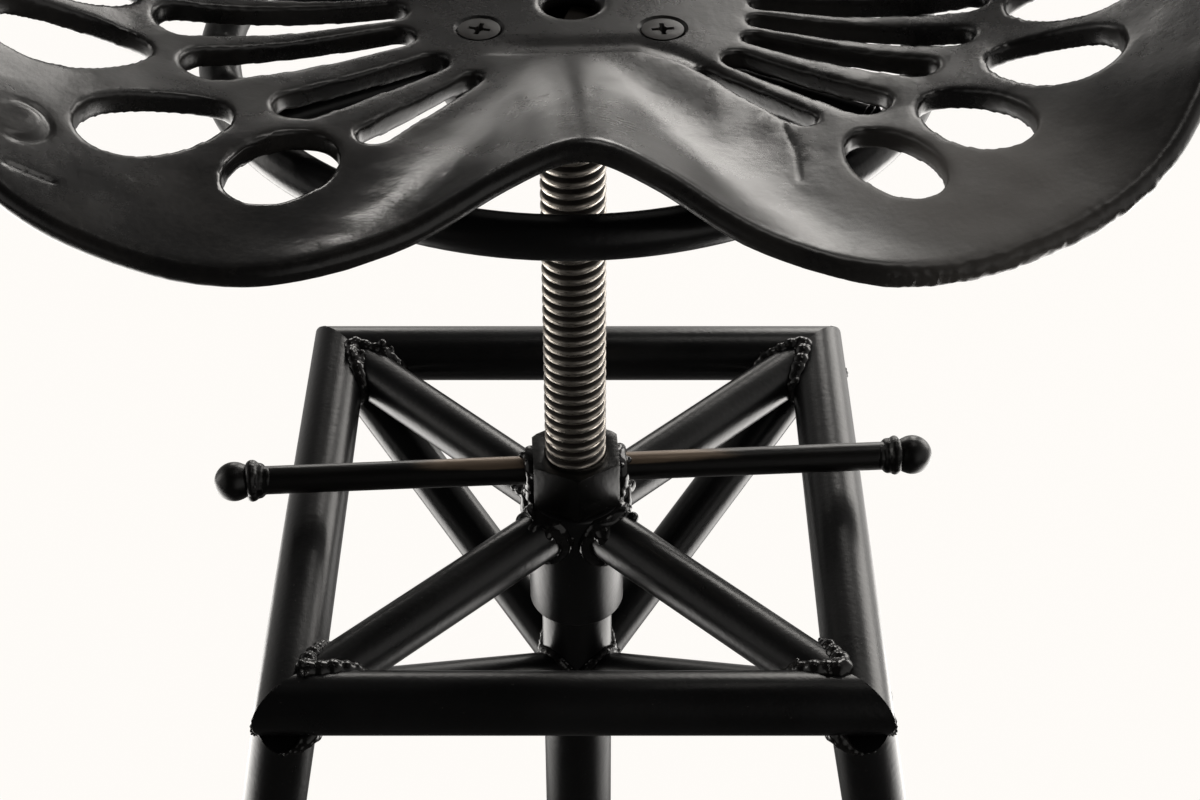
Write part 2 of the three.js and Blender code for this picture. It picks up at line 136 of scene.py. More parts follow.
camera_ray = floor_wire.node("ShaderNodeLightPath", output="Is Camera Ray")
glossy_ray = floor_wire.node("ShaderNodeLightPath", output="Is Glossy Ray")
passed_ray = floor_wire.node("ShaderNodeLightPath", output="Is Transmission Ray")
floor_place = floor_wire.node("ShaderNodeTexCoord", output="Object")
floor_x = floor_wire.node("ShaderNodeSeparateXYZ", None, {0: floor_place}, output="X")
floor_y = floor_wire.node("ShaderNodeSeparateXYZ", None, {0: floor_place}, output="Y")
lit_behind = fade(floor_wire, floor_y, -0.1, 0.7, 0.04, 0.4)
lit_right = fade(floor_wire, floor_x, 0.2, 0.9, 0.0, 1.2)
lit_right = lit_right * fade(floor_wire, floor_y, -0.1, 0.5, 0.0, 1.0)
lit_sides = 0
for middle, level in ((-0.8, 5.5), (0.75, 5.0)):
    spot = floor_wire.node(
        "ShaderNodeVectorMath",
        {"operation": "DISTANCE"},
        {0: floor_place, 1: (middle, 0.2, 0)},
        output="Value",
    )
    lit_sides = fade(floor_wire, spot, 0.25, 0.62, level, 0.0) + lit_sides
gloss_level = lit_behind + lit_right + lit_sides
seen_level = camera_ray + (glossy_ray + passed_ray) * gloss_level
matt = floor_wire.node("ShaderNodeBsdfDiffuse", None, {"Color": (0.82, 0.80, 0.77, 1)})
glow_inputs = {"Color": (*backdrop, 1), "Strength": seen_level}
glow = floor_wire.node("ShaderNodeEmission", None, glow_inputs)
share = 0.99 * camera_ray + glossy_ray + passed_ray
blend = floor_wire.node("ShaderNodeMixShader", None, {0: share, 1: matt, 2: glow})
floor_paint.cycles.emission_sampling = "NONE"
floor_out = floor_tree.nodes.new("ShaderNodeOutputMaterial")
floor_tree.links.new(blend.socket, floor_out.inputs[0])
floor.data.materials.append(floor_paint)

world = bpy.data.worlds.new("studio")
bpy.context.scene.world = world
world.use_nodes = True
world_tree = world.node_tree
world_tree.nodes.clear()
sky = Wire(world_tree)
way = sky.node("ShaderNodeTexCoord", output="Generated")
split = sky.node("ShaderNodeSeparateXYZ", None, {0: way})
across, ahead, above = [Wire(world_tree, split.socket.node.outputs[axis]) for axis in "XYZ"]
behind_glow = fade(sky, ahead, 0.0, 0.8, 0.0, 0.1)
right_glow = fade(sky, across, 0.05, 0.5, 0.0, 0.55)
left_glow = fade(sky, across, -0.95, -0.5, 0.5, 0.0)
bright = (behind_glow + right_glow + left_glow) * fade(sky, above, 0.45, 0.8, 1.0, 0.3) + 0.02
seen = sky.node("ShaderNodeLightPath", output="Is Camera Ray")
strength = bright * (1 - seen) + seen
ground = sky.node("ShaderNodeBackground", None, {"Color": (*backdrop, 1), "Strength": strength})
world_out = world_tree.nodes.new("ShaderNodeOutputWorld")
world_tree.links.new(ground.socket, world_out.inputs[0])


def soft_lamp(name, place, target, width, height, watts):
    bpy.ops.object.light_add(type="AREA", location=place)
    lamp = bpy.context.object
    lamp.name = name
    lamp.data.shape = "RECTANGLE"
    lamp.data.size = width
    lamp.data.size_y = height
    lamp.data.energy = watts
    lamp.data.color = (1.0, 0.965, 0.92)
    lamp.rotation_euler = (Vector(target) - Vector(place)).to_track_quat("-Z", "Y").to_euler()


soft_lamp("lamp_back_right", (0.5, 2.3, 1.45), (0.02, 0, 0.72), 0.62, 1.15, 14)
soft_lamp("lamp_back_left", (-0.43, 2.3, 1.155), (-0.02, 0, 0.72), 0.5, 0.69, 4.8)
soft_lamp("lamp_back_low", (0, 2.3, 0.5), (0, 0, 0.6), 1.4, 0.7, 3)
soft_lamp("lamp_overhead", (0.3, 0.5, 2.2), (0.02, 0, 0.6), 0.5, 0.5, 2)
soft_lamp("lamp_left", (-1.7, 0.4, 0.7), (0, 0, 0.5), 0.6, 1.2, 5)
soft_lamp("lamp_right", (1.5, 1.3, 0.95), (0, 0, 0.55), 1.2, 1.0, 17)


# Stand tubes: drawn steel tube under brushed semi-gloss black enamel. The four top rails are
# mitred at the corners, the braces are coped to what they meet, and all is welded.
def new_finish(name):
    """A material with a plain shader, and the place on the piece as a wire."""
    finish = bpy.data.materials.new(name)
    finish.use_nodes = True
    return finish, Wire(finish.node_tree).node("ShaderNodeTexCoord", output="Object")


def noise_on(place, scale, detail):
    values = {"Vector": place, "Scale": scale, "Detail": detail}
    return place.node("ShaderNodeTexNoise", None, values)


def mixed(share, first, second):
    """The first colour, with a share of the second over it."""
    values = {0: share, 6: first, 7: second}
    return share.node("ShaderNodeMix", {"data_type": "RGBA"}, values, output=2)


def feed(finish, relief, distance, inputs):
    """Links a finish's shader to its wires, and to its relief through a bump node."""
    shader = finish.node_tree.nodes["Principled BSDF"]
    heights = {"Height": relief, "Distance": distance, "Strength": 1}
    inputs["Normal"] = relief.node("ShaderNodeBump", None, heights)
    for name, source in inputs.items():
        finish.node_tree.links.new(source.socket, shader.inputs[name])
    return shader


def enamel(name, colour, roughness, spread, grain, specks):
    """Black paint with soft clouds, a fine grain and a few specks of dust."""
    paint, place = new_finish(name)
    clouds = noise_on(place, 28, 5)
    fine = noise_on(place, 420, 6)
    dust = noise_on(place, 900, 2)
    speck = place.node(
        "ShaderNodeMapRange",
        None,
        {"Value": dust, "From Min": 0.72, "From Max": 0.78, "To Min": 0, "To Max": specks},
    )
    shade = place.node(
        "ShaderNodeValToRGB",
        {"stops": [(0.3, [0.75 * c for c in colour]), (0.7, [1.35 * c for c in colour])]},
        {"Fac": clouds},
    )
    dusted = mixed(speck, shade, (0.16, 0.15, 0.14, 1))
    gloss = roughness - spread / 2 + spread * clouds + 0.5 * speck
    shader = feed(paint, fine + 1.5 * clouds, grain, {"Base Color": dusted, "Roughness": gloss})
    shader.inputs["Specular IOR Level"].default_value = 0.4
    return paint


def bake_place():
    """Puts the place and turn of what is selected into its mesh."""
    bpy.ops.object.transform_apply(location=True, rotation=True, scale=True)


def settle(piece, name, paint, body, nodes, crease=35):
    """Names a finished piece, bakes its place into its mesh and gives it to a body."""
    deselect()
    bpy.context.view_layer.objects.active = piece
    piece.select_set(True)
    piece.name = name
    piece.data.name = name
    bake_place()
    bpy.ops.object.shade_smooth_by_angle(angle=math.radians(crease))
    piece.data.materials.clear()
    piece.data.materials.append(paint)
    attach(piece, body)
    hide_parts(*nodes)
    return piece


def reach(point, way, stops):
    """How far from a point, along a way, the first of some round tubes is met."""
    found = []
    for centre, axis, radius in stops:
        across = way - way.dot(axis) * axis
        offset = (point - centre) - (point - centre).dot(axis) * axis
        spread = across.dot(across)
        middle = offset.dot(across)
        room = max(middle**2 - spread * (offset.dot(offset) - radius**2), 0)
        distance = (-middle - math.sqrt(room)) / spread
        if distance > 0:
            found.append(distance)
    return min(found)


def circle(middle, first, second, radius, count):
    """Points round a circle that starts at the first direction and turns to the second."""
    turns = [2 * math.pi * step / count for step in range(count)]
    return [middle + radius * (math.cos(turn) * first + math.sin(turn) * second) for turn in turns]


def ring(middle, way, radius, stops, count):
    """The points where a round tube, drawn from its middle along a way, meets its stops."""
    side = way.cross(Vector((0, 0, 1)) if abs(way.z) < 0.9 else Vector((1, 0, 0))).normalized()
    around = circle(middle, side, way.cross(side), radius, count)
    return [point + way * reach(point, way, stops) for point in around]


def coped_tube(start, end, radius, start_stops=(), end_stops=(), sides=64):
    """A round tube whose ends are cut to lie against the tubes that stop it."""
    run = end - start
    middle = (start + end) / 2
    along = run.normalized()
    deselect()
    bpy.ops.mesh.primitive_cylinder_add(
        vertices=sides,
        radius=radius,
        depth=run.length,
        location=middle,
        rotation=run.to_track_quat("Z", "Y").to_euler(),
    )
    piece = bpy.context.object
    bake_place()
    for vertex in piece.data.vertices:
        offset = vertex.co - middle
        height = offset.dot(along)
        stops = end_stops if height > 0 else start_stops
        if stops:
            way = along * math.copysign(1, height)
            around = middle + offset - height * along
            vertex.co = around + way * reach(around, way, stops)
    return piece


def slice_off(place, away):
    """Cuts the piece in hand through a place, takes off the side away and closes the cut."""
    bpy.ops.object.mode_set(mode="EDIT")
    bpy.ops.mesh.select_all(action="SELECT")
    bpy.ops.mesh.bisect(plane_co=place, plane_no=away, use_fill=True, clear_outer=True)
    bpy.ops.object.mode_set(mode="OBJECT")


frame_black = enamel("frame_enamel", (0.006, 0.006, 0.0065), 0.30, 0.14, 0.0001, 0.3)
rail_low, rail_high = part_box("top_rail_front")
deck = (rail_low.z + rail_high.z) / 2
rail_radius = (rail_high.z - rail_low.z) / 2
corner = rail_high.x - rail_radius
leg_radius = 12.7 * mm
upper_brace_radius = 11 * mm
lower_brace_radius = 10.5 * mm
lower_brace_drop = 98 * mm
foot_rail_radius = 11 * mm
foot_rail_height = 200 * mm
leg_splay = 0.18
sole_thickness = 6 * mm
collar_radius = 20.5 * mm
guide_radius = 15.5 * mm
axis_x = Vector((1, 0, 0))
axis_y = Vector((0, 1, 0))
axis_z = Vector((0, 0, 1))
centre = Vector((0, 0, deck))
collar_stop = (centre, axis_z, collar_radius)
guide_stop = (centre, axis_z, guide_radius)
corners = {
    "back_right": (1, 1),
    "back_left": (-1, 1),
    "front_left": (-1, -1),
    "front_right": (1, -1),
}
sides = ["back", "left", "front", "right"]

for quarter, side in enumerate(sides):
    turn = Matrix.Rotation(quarter * math.pi / 2, 4, "Z")
    deselect()
    bpy.ops.mesh.primitive_cylinder_add(
        vertices=72,
        radius=rail_radius,
        depth=2 * (corner + 2 * rail_radius),
        location=(0, corner, deck),
        rotation=(0, math.pi / 2, 0),
    )
    rail = bpy.context.object
    bake_place()
    for end in (-1, 1):
        slice_off((end * corner, corner, deck), (end, -1, 0))
    rail.data.transform(turn)
    settle(rail, "rail_" + side, frame_black, "stand", ["top_rail_" + side])

for name, (sx, sy) in corners.items():
    joint = Vector((sx * corner, sy * corner, deck))
    rails = [(joint, axis_x, rail_radius), (joint, axis_y, rail_radius)]
    splay = Vector((sx * leg_splay, sy * leg_splay, -1))
    foot = joint + splay * deck
    low = centre - lower_brace_drop * axis_z
    upper = coped_tube(centre, joint, upper_brace_radius, [collar_stop], rails)
    lower = coped_tube(low, joint, lower_brace_radius, [guide_stop], rails)
    for piece, level in ((upper, "upper"), (lower, "lower")):
        node = f"{level}_brace_{name}"
        settle(piece, f"brace_{level}_{name}", frame_black, "stand", [node])
    leg = coped_tube(joint, foot, leg_radius, rails)
    slice_off((0, 0, sole_thickness), (0, 0, -1))
    settle(leg, "stand_leg_" + name, frame_black, "stand", ["leg_" + name])


# Threaded collar and guide tube: a thick steel boss, with the lift screw's thread in its bore, and
# a thin tube welded under it that keeps the screw's foot out of reach. Black enamel like the rails.
collar_low, collar_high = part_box("threaded_collar")
guide_low, guide_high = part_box("guide_tube")
bore_radius = 13.1 * mm
guide_wall = 1.2 * mm
foot_cap_radius = 16.2 * mm
foot_cap_length = 34 * mm
cap_bead = 6 * mm
cap_waist = 0.6 * mm


def refine(piece, kind, **settings):
    """Adds one modifier to a piece and applies it."""
    deselect()
    bpy.context.view_layer.objects.active = piece
    piece.select_set(True)
    made = piece.modifiers.new(kind.lower(), kind)
    for key, value in settings.items():
        setattr(made, key, value)
    bpy.ops.object.modifier_apply(modifier=made.name)


def round_edges(piece, width, segments=3, over=60):
    """Rounds the edges that turn by more than so many degrees."""
    limit = math.radians(over)
    refine(piece, "BEVEL", width=width, segments=segments, limit_method="ANGLE", angle_limit=limit)


def hollow_post(low, high, radius, bore):
    """An upright round tube: an open cylinder with its wall thickened inwards."""
    deselect()
    bpy.ops.mesh.primitive_cylinder_add(
        vertices=96,
        radius=radius,
        depth=high - low,
        location=(0, 0, (low + high) / 2),
        end_fill_type="NOTHING",
    )
    piece = bpy.context.object
    refine(piece, "SOLIDIFY", thickness=radius - bore, offset=-1, use_even_offset=True)
    return piece


collar = hollow_post(collar_low.z, collar_high.z, collar_radius, bore_radius)
round_edges(collar, 1.5 * mm)
settle(collar, "collar", frame_black, "stand", ["threaded_collar"])
guide = hollow_post(guide_low.z, guide_high.z, guide_radius, guide_radius - guide_wall)
round_edges(guide, 0.4 * mm, segments=2)
settle(guide, "guide", frame_black, "stand", ["guide_tube"])


# Foot rails and feet: the legs are tied together low down by four coped rails, and each leg
# stands in a moulded rubber cap with a flat sole. Out of the photograph's view.
rubber = enamel("foot_rubber", (0.018, 0.018, 0.017), 0.72, 0.12, 0.0002, 0.25)


def leg_line(sx, sy):
    return (
        Vector((sx * corner, sy * corner, deck)),
        Vector((sx * leg_splay, sy * leg_splay, -1)).normalized(),
        leg_radius,
    )


rail_reach = corner + leg_splay * (deck - foot_rail_height)
for quarter, side in enumerate(sides):
    turn = Matrix.Rotation(quarter * math.pi / 2, 4, "Z")
    rail = coped_tube(
        Vector((-rail_reach, rail_reach, foot_rail_height)),
        Vector((rail_reach, rail_reach, foot_rail_height)),
        foot_rail_radius,
        [leg_line(-1, 1)],
        [leg_line(1, 1)],
    )
    rail.data.transform(turn)
    settle(rail, "foot_bar_" + side, frame_black, "stand", ["foot_rail_" + side])

for name, (sx, sy) in corners.items():
    top, way, radius = leg_line(sx, sy)
    mouth = top + way * ((deck - foot_cap_length) / -way.z)
    sole = top + way * ((deck + foot_cap_length) / -way.z)
    cap = coped_tube(mouth, sole, foot_cap_radius)
    slice_off((0, 0, 0), (0, 0, -1))
    bpy.ops.object.mode_set(mode="EDIT")
    bpy.ops.mesh.select_all(action="SELECT")
    bpy.ops.mesh.bisect(plane_co=mouth + way * cap_bead, plane_no=way)
    bpy.ops.object.mode_set(mode="OBJECT")
    for vertex in cap.data.vertices:
        height = (vertex.co - mouth).dot(way)
        if cap_bead / 2 < height < cap_bead + 1 * mm and vertex.co.z > 1 * mm:
            off = (vertex.co - mouth) - height * way
            vertex.co -= off * (cap_waist / off.length)
    round_edges(cap, 1.2 * mm, over=50)
    settle(cap, "foot_" + name, rubber, "stand", ["foot_cap_" + name])


# Welds: arc-welded beads laid round every joint of the stand, lumpy and left unground except on
# the mitres, with a few drops of spatter beside them. They carry a thicker, glossier coat.
weld_black = enamel("weld_enamel", (0.009, 0.0085, 0.0085), 0.12, 0.08, 0.00003, 0.1)
weld_gap = 0.3 * mm
weld_bore = guide_radius - 0.5 * mm


def carve(piece, tool, operation):
    """Cuts a piece with a tool, or keeps what they share, and throws the tool away."""
    refine(piece, "BOOLEAN", operation=operation, object=tool, solver="EXACT")
    bpy.data.objects.remove(tool)


def weld(name, seams, body, seed, clusters=2, voxel=0.6 * mm, flats=(), bore=0):
    """Smooth beads of drops run together along seams, with clusters of small glossy drops where
    the arc spat. A seam is its points and the bead's radius, or its radius at each point. The bead
    is ground off at each flat, a height and which way is off, and reamed out of a bore."""
    draw = random.Random(seed)
    deselect()
    drops = []
    for points, size in seams:
        sizes = size if isinstance(size, list) else [size] * len(points)
        swell = draw.uniform(0, 6)
        for number, (point, size) in enumerate(zip(points, sizes)):
            jitter = Vector([draw.uniform(-0.06, 0.06) for _ in range(3)]) * size
            wave = 1 + 0.17 * math.sin(swell + number * 0.45) + draw.uniform(-0.03, 0.03)
            drops.append((point + jitter, size * wave))
        for _ in range(clusters if sizes[0] > 1.2 * mm else 0):
            spot = draw.randrange(len(points))
            for _ in range(draw.randint(3, 6)):
                throw = Vector([draw.gauss(0, 1) for _ in range(3)]).normalized()
                throw *= sizes[spot] * draw.uniform(0.85, 1.3)
                drops.append((points[spot] + throw, sizes[spot] * draw.uniform(0.34, 0.6)))
    place, size = drops[0]
    bpy.ops.mesh.primitive_ico_sphere_add(subdivisions=3, radius=size, location=place)
    piece = bpy.context.object
    bpy.ops.object.mode_set(mode="EDIT")
    for place, size in drops[1:]:
        bpy.ops.mesh.primitive_ico_sphere_add(subdivisions=2, radius=size, location=place)
    bpy.ops.object.mode_set(mode="OBJECT")
    bake_place()
    refine(piece, "REMESH", mode="VOXEL", voxel_size=voxel, use_smooth_shade=True)
    refine(piece, "SMOOTH", factor=0.5, iterations=9)
    for height, off in flats:
        slice_off((0, 0, height), (0, 0, off))
    if bore:
        deselect()
        bpy.ops.mesh.primitive_cylinder_add(
            vertices=96, radius=bore, depth=4 * lower_brace_drop, location=centre
        )
        carve(piece, bpy.context.object, "DIFFERENCE")
    settle(piece, name, weld_black, body, [], crease=60)
    return piece


for number, (name, (sx, sy)) in enumerate(corners.items()):
    joint = Vector((sx * corner, sy * corner, deck))
    rails = [(joint, axis_x, rail_radius), (joint, axis_y, rail_radius)]
    out = Vector((sx, sy, 0)).normalized()
    low = centre - lower_brace_drop * axis_z
    rising = (joint - low).normalized()
    splay = Vector((sx * leg_splay, sy * leg_splay, -1)).normalized()
    mitre = circle(joint, Vector((sx, sy, 0)), axis_z, 0.975 * rail_radius, 72)
    beads = [
        (ring((centre + joint) / 2, out, upper_brace_radius, rails, 26), 4.1 * mm),
        (ring((low + joint) / 2, rising, lower_brace_radius, rails, 24), 3.4 * mm),
        (ring(joint + splay * 0.1, -splay, leg_radius, rails, 30), 3.2 * mm),
    ]
    seams = [(mitre, 0.7 * mm)]
    for points, size in beads:
        outside = [min(1, max(0, (point - joint).dot(out) / rail_radius)) for point in points]
        seams.append((points, [size * (1 - 0.72 * off) for off in outside]))
    weld("weld_corner_" + name, seams, "stand", 11 + number, clusters=6)
    upper_seam = ring((centre + joint) / 2, -out, upper_brace_radius, [collar_stop], 30)
    lower_seam = ring((low + joint) / 2, -rising, lower_brace_radius, [guide_stop], 26)
    crown = centre + out * (collar_radius + 3 * mm) + axis_z * (upper_brace_radius - 3.6 * mm)
    across = axis_z.cross(out)
    shifts = [shift * mm for shift in range(-6, 7, 2)]
    web = [crown + across * shift - axis_z * 0.35 * abs(shift) for shift in shifts]
    seams = [(upper_seam, 3.9 * mm), (lower_seam, 3.4 * mm), (web, 4.6 * mm)]
    weld(
        "weld_boss_" + name,
        seams,
        "stand",
        31 + number,
        clusters=3,
        flats=[(collar_high.z - weld_gap, 1)],
        bore=weld_bore,
    )

under = Vector((0, 0, collar_low.z - 0.6 * mm))
under_collar = circle(under, axis_x, axis_y, guide_radius + 1 * mm, 44)
seams = [(under_collar, 1.8 * mm)]
weld("weld_guide", seams, "stand", 51, clusters=0, bore=weld_bore)

for number, (name, (sx, sy)) in enumerate(corners.items()):
    node = Vector((sx * rail_reach, sy * rail_reach, foot_rail_height))
    stops = [leg_line(sx, sy)]
    along_x = ring(node - sx * 60 * mm * axis_x, sx * axis_x, foot_rail_radius, stops, 30)
    along_y = ring(node - sy * 60 * mm * axis_y, sy * axis_y, foot_rail_radius, stops, 30)
    seams = [(along_x, 2.6 * mm), (along_y, 2.6 * mm)]
    weld("weld_foot_" + name, seams, "stand", 61 + number, clusters=1)


# Lift screw: a bar of plain steel with a trapezoid thread of 5 mm pitch rolled along it. Grease
# and dust lie dark in its roots, and the crests are rubbed bright. It turns with the seat.
screw_low, screw_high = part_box("lift_screw")
thread_pitch = 5 * mm
crest_radius = 12.8 * mm
root_radius = 10.2 * mm
crest_width = 2.05 * mm
flank_width = 0.75 * mm
crest_round = 0.45 * mm
thread_steps = 40

deselect()
bpy.ops.mesh.primitive_circle_add(vertices=7, radius=crest_radius)
screw = bpy.context.object
bpy.ops.object.mode_set(mode="EDIT")
bpy.ops.mesh.select_all(action="DESELECT")
bpy.ops.object.mode_set(mode="OBJECT")
root_width = thread_pitch - crest_width - 2 * flank_width
flank_top = root_width + flank_width
profile = [
    (root_radius, 0),
    (root_radius, root_width),
    (crest_radius - crest_round, flank_top - crest_round / 2),
    (crest_radius, flank_top + crest_round),
    (crest_radius, flank_top + crest_width - crest_round),
    (crest_radius - crest_round, flank_top + crest_width + crest_round / 2),
    (root_radius, thread_pitch),
]
for vertex, (radius, height) in zip(screw.data.vertices, profile):
    vertex.co = (radius, 0, screw_low.z - 2 * thread_pitch + height)
for edge in screw.data.edges:
    edge.select = set(edge.vertices) == {0, len(profile) - 1}
bpy.ops.object.mode_set(mode="EDIT")
bpy.ops.mesh.select_mode(type="EDGE")
bpy.ops.mesh.delete(type="EDGE")
bpy.ops.object.mode_set(mode="OBJECT")
refine(
    screw,
    "SCREW",
    axis="Z",
    angle=2 * math.pi,
    screw_offset=thread_pitch,
    iterations=math.ceil((screw_high.z - screw_low.z) / thread_pitch) + 4,
    steps=thread_steps,
    render_steps=thread_steps,
    use_merge_vertices=True,
    merge_threshold=0.02 * mm,
)
for height, way in ((screw_high.z, 1), (screw_low.z, -1)):
    slice_off((0, 0, height), (0, 0, way))
bpy.ops.object.mode_set(mode="EDIT")
bpy.ops.mesh.select_all(action="SELECT")
bpy.ops.mesh.normals_make_consistent(inside=False)
bpy.ops.object.mode_set(mode="OBJECT")


def level_with(place):
    """The place on the piece, dropped to the floor."""
    return place.node("ShaderNodeVectorMath", {"operation": "MULTIPLY"}, {0: place, 1: (1, 1, 0)})


def off_axis(place):
    """How far a place on the piece is from the lift screw's axis."""
    flat = level_with(place)
    return flat.node("ShaderNodeVectorMath", {"operation": "LENGTH"}, {0: flat}, output="Value")


bright_steel, place = new_finish("screw_steel")
radius = off_axis(place)
grime = noise_on(place, 170, 6)
worn_radius = radius + 0.0012 * (grime - 0.5)
crest = fade(place, worn_radius, crest_radius - 0.9 * mm, crest_radius - 0.05 * mm)
rolled = place.node("ShaderNodeMapping", None, {"Vector": place, "Scale": (1, 1, 12)})
scratches = noise_on(rolled, 260, 8)
steel = place.node(
    "ShaderNodeValToRGB",
    {"stops": [(0.3, (0.30, 0.265, 0.225)), (0.5, (0.47, 0.43, 0.38)), (0.75, (0.60, 0.56, 0.51))]},
    {"Fac": scratches},
)
steel_looks = {
    "Base Color": mixed(crest, (0.022, 0.017, 0.013, 1), steel),
    "Metallic": 0.1 + 0.88 * crest,
    "Roughness": 0.58 - 0.3 * crest + 0.14 * (scratches - 0.5),
}
feed(bright_steel, scratches, 0.12 * mm, steel_looks)
settle(screw, "screw", bright_steel, "seat_and_screw", ["lift_screw"], crease=50)
for name in ("stop_washer", "stop_bolt"):
    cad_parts[name].data.materials.clear()
    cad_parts[name].data.materials.append(bright_steel)


# Lock nut and handles: a plain hexagonal nut with a round bar welded to each of two flats, and a
# ball on each bar's end. The nut is oily black; the bars are rubbed through to brown on top.
nut_low, nut_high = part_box("lock_nut")
nut_turn = math.radians(3.5)
nut_across = 36 * mm
nut_corner = nut_across / 2 / math.cos(math.pi / 6)
ball_low, ball_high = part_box("handle_ball_right")
ball_radius = (ball_high.z - ball_low.z) / 2
handle_height = (ball_high.z + ball_low.z) / 2
handle_reach = math.hypot((ball_low.x + ball_high.x) / 2, (ball_low.y + ball_high.y) / 2)
handle_radius = 6 * mm
nut_height = nut_high.z - nut_low.z
nut_middle = nut_low.z + nut_height / 2

deselect()
bpy.ops.mesh.primitive_cylinder_add(
    vertices=6,
    radius=nut_corner,
    depth=nut_height,
    location=(0, 0, nut_middle),
    rotation=(0, 0, nut_turn),
)
nut = bpy.context.object
bake_place()
bpy.ops.mesh.primitive_cone_add(
    vertices=96,
    radius1=nut_corner + 1.4 * nut_height,
    radius2=nut_corner - 1.1 * mm,
    depth=nut_height + 1 * mm,
    location=(0, 0, nut_middle - 0.5 * mm),
)
carve(nut, bpy.context.object, "INTERSECT")
bpy.ops.mesh.primitive_cylinder_add(
    vertices=96, radius=bore_radius, depth=2 * nut_height, location=(0, 0, nut_middle)
)
carve(nut, bpy.context.object, "DIFFERENCE")
round_edges(nut, 0.7 * mm, over=25)
oily_black = enamel("nut_black", (0.0035, 0.0033, 0.003), 0.26, 0.14, 0.0001, 0.12)
settle(nut, "nut", oily_black, "lock", ["lock_nut"])

worn_black, place = new_finish("handle_worn")
along = place.node("ShaderNodeMapping", None, {"Vector": place, "Scale": (0.15, 1, 1)})
streaks = noise_on(along, 420, 7)
patches = noise_on(place, 40, 4)
height = place.node("ShaderNodeSeparateXYZ", None, {0: place}, output="Z")
top = fade(place, height, handle_height + 3.6 * mm, handle_height + 5.6 * mm)
near = fade(place, off_axis(place), 30 * mm, 86 * mm, 1.0, 0.0)
rubbed = fade(place, top * (0.12 + 1.3 * near) * (patches + streaks), 0.3, 0.95)
handle_looks = {
    "Base Color": mixed(rubbed, (0.0035, 0.003, 0.0028, 1), (0.20, 0.15, 0.108, 1)),
    "Roughness": 0.27 + 0.12 * streaks,
    "Metallic": 0.35 * rubbed,
}
shader = feed(worn_black, streaks, 0.15 * mm, handle_looks)
shader.inputs["Specular IOR Level"].default_value = 0.4

for side, half in (("right", 0), ("left", math.pi)):
    way = Vector((math.cos(nut_turn + half), math.sin(nut_turn + half), 0))
    lift = Vector((0, 0, handle_height))
    flat_face = lift + way * (nut_across / 2 - 0.5 * mm)
    ball_centre = lift + way * handle_reach
    rod = coped_tube(flat_face, ball_centre - way * ball_radius * 0.6, handle_radius, sides=56)
    settle(rod, "handle_" + side, worn_black, "lock", ["handle_rod_" + side])
    deselect()
    bpy.ops.mesh.primitive_uv_sphere_add(
        segments=48, ring_count=24, radius=ball_radius, location=ball_centre
    )
    ball = bpy.context.object
    bake_place()
    for vertex in ball.data.vertices:
        offset = vertex.co - ball_centre
        behind = max(0, -offset.dot(way) / ball_radius - 0.45)
        vertex.co -= way * behind * 2.2 * mm
    settle(ball, "ball_" + side, worn_black, "lock", ["handle_ball_" + side])
    face = lift + way * (nut_across / 2 + 0.8 * mm)
    across = Vector((-way.y, way.x, 0))
    bead = circle(face, across, axis_z, handle_radius + 1.2 * mm, 26)
    run_down = []
    for shift in (-5, 0, 5):
        for drop in (8, 10.5):
            run_down.append(face + across * shift * mm - axis_z * drop * mm)
    seams = [(bead, 3.2 * mm), (run_down, 2.6 * mm)]
    weld(
        "weld_handle_" + side,
        seams,
        "lock",
        71 + int(half),
        clusters=4,
        voxel=0.5 * mm,
        flats=[(nut_high.z - weld_gap, 1), (nut_low.z, -1)],
    )
    flare = []
    for away, around, size in ((7.6, 6.2, 2.6), (10.5, 4.9, 2.4), (14, 4.4, 1.9)):
        loop = circle(ball_centre - way * away * mm, across, axis_z, around * mm, 28)
        flare.append((loop, size * mm))
    neck = weld("weld_ball_" + side, flare, "lock", 81 + int(half), 0, 0.4 * mm)
    neck.data.materials[0] = worn_black


# Seat hub, hoop and spokes: a flanged boss welded on the screw's head carries the seat, and three
# round arms from it carry a hoop to turn the seat by. Round bar under black enamel.
hub_low, hub_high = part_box("seat_hub")
hoop_low, hoop_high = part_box("hand_hoop")
hoop_height = (hoop_low.z + hoop_high.z) / 2
hoop_bar = 7.5 * mm
hoop_radius = 127 * mm
spoke_radius = 6.8 * mm
hub_radius = 50 * mm
hub_boss_radius = 23 * mm
hub_thickness = 8 * mm
spoke_azimuths = [90, 210, 330]

deselect()
bpy.ops.mesh.primitive_cylinder_add(
    vertices=128,
    radius=hub_radius,
    depth=hub_thickness,
    location=(0, 0, hub_high.z - hub_thickness / 2),
)
hub = bpy.context.object
bake_place()
for face in hub.data.polygons:
    face.select = face.normal.z < -0.9
bpy.ops.object.mode_set(mode="EDIT")
bpy.ops.mesh.select_mode(type="FACE")
bpy.ops.mesh.inset(thickness=hub_radius - hub_boss_radius, depth=0)
boss_drop = hub_high.z - hub_thickness - hub_low.z
bpy.ops.mesh.extrude_region_move(TRANSFORM_OT_translate={"value": (0, 0, -boss_drop)})
bpy.ops.object.mode_set(mode="OBJECT")
round_edges(hub, 1.5 * mm)
settle(hub, "hub", frame_black, "seat_and_screw", ["seat_hub"])

deselect()
bpy.ops.mesh.primitive_torus_add(
    major_segments=144,
    minor_segments=32,
    major_radius=hoop_radius,
    minor_radius=hoop_bar,
    location=(0, 0, hoop_height),
)
hoop = bpy.context.object
settle(hoop, "hoop", frame_black, "seat_and_screw", ["hand_hoop"], crease=180)

